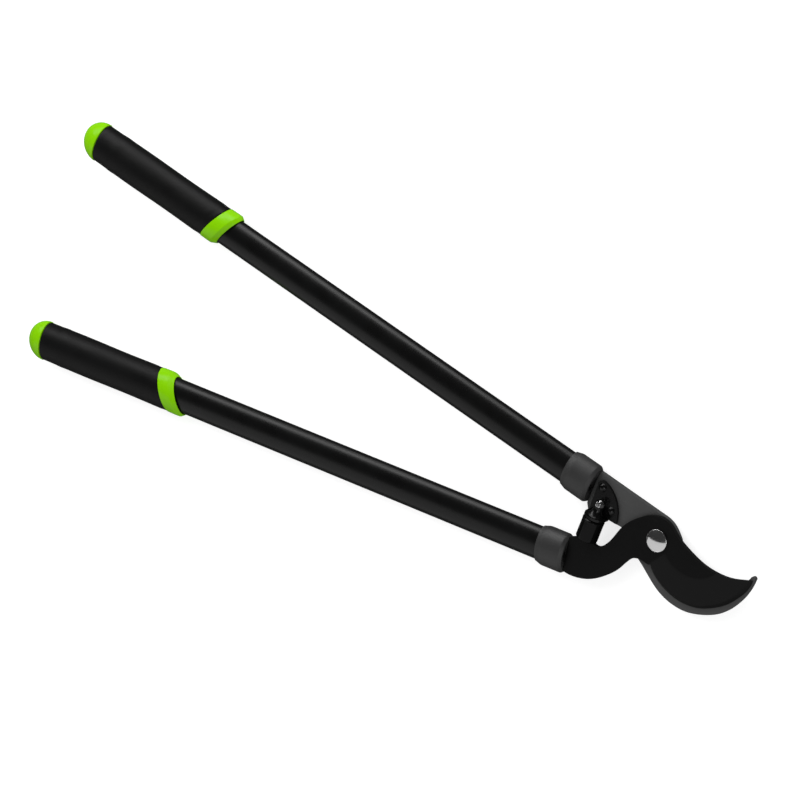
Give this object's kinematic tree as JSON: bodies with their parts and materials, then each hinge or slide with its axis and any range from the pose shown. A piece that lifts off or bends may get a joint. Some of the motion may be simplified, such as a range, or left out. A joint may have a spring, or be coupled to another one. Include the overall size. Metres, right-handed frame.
{
  "type": "bypass loppers",
  "caption": "Long-handled bypass loppers: hooked jaw and curved blade on one pivot bolt, bent arms in collars on oval tubes, rubber stop, soft grips with bright bands and domed caps.",
  "frame": {"origin": "on the pivot bolt's axis, at the outer face of the pivot nut, on which the closed tool rests together with the undersides of its grips", "axes": "+X from the pivot to the jaw tip, along the tool's length; +Z from the hook to the blade, along the pivot axis; +Y toward the hook's handle"},
  "size_m": [0.7138, 0.2222, 0.0274],
  "materials": {
    "hook_coat": "satin non-stick coat on steel",
    "blade_coat": "matte black non-stick coat on steel",
    "tube_paint": "semi-gloss black paint on an oval steel tube",
    "ferrule_plastic": "satin dark grey moulded plastic",
    "shim_plastic": "plain moulded filler",
    "grip_green": "satin-gloss lime green moulded plastic",
    "grip_rubber": "soft-touch overmould",
    "bracket_paint": "satin black paint on pressed steel",
    "bumper_rubber": "moulded rubber",
    "zinc_steel": "bright zinc plate",
    "bolt_chrome": "polished nickel plate",
    "nut_nylon": "nylon locking ring"
  },
  "bodies": {
    "hook_side": {"hook": "hook_coat", "hook_handle_tube": "tube_paint", "hook_ferrule": "ferrule_plastic", "hook_tang_shim_top": "shim_plastic", "hook_tang_shim_bottom": "shim_plastic", "hook_tang_rivets": "zinc_steel", "hook_grip_core": "grip_green", "hook_grip_sleeve": "grip_rubber", "bumper_bracket": "bracket_paint", "bracket_rivets": "bracket_paint", "bumper": "bumper_rubber", "bumper_stud": "zinc_steel", "bumper_nut": "zinc_steel", "pivot_bolt": "bolt_chrome", "pivot_washer": "zinc_steel", "pivot_nut": "zinc_steel", "pivot_nut_ring": "nut_nylon"},
    "blade_side": {"blade": "blade_coat", "blade_handle_tube": "tube_paint", "blade_ferrule": "ferrule_plastic", "blade_tang_shim_top": "shim_plastic", "blade_tang_shim_bottom": "shim_plastic", "blade_tang_rivets": "zinc_steel", "blade_grip_core": "grip_green", "blade_grip_sleeve": "grip_rubber"}
  },
  "joints": [
    {"name": "pivot", "type": "hinge", "parent": "hook_side", "child": "blade_side", "pos_m": [0, 0, 0.0118], "axis": [0, 0, 1], "range_deg": [0, 60]}
  ]
}
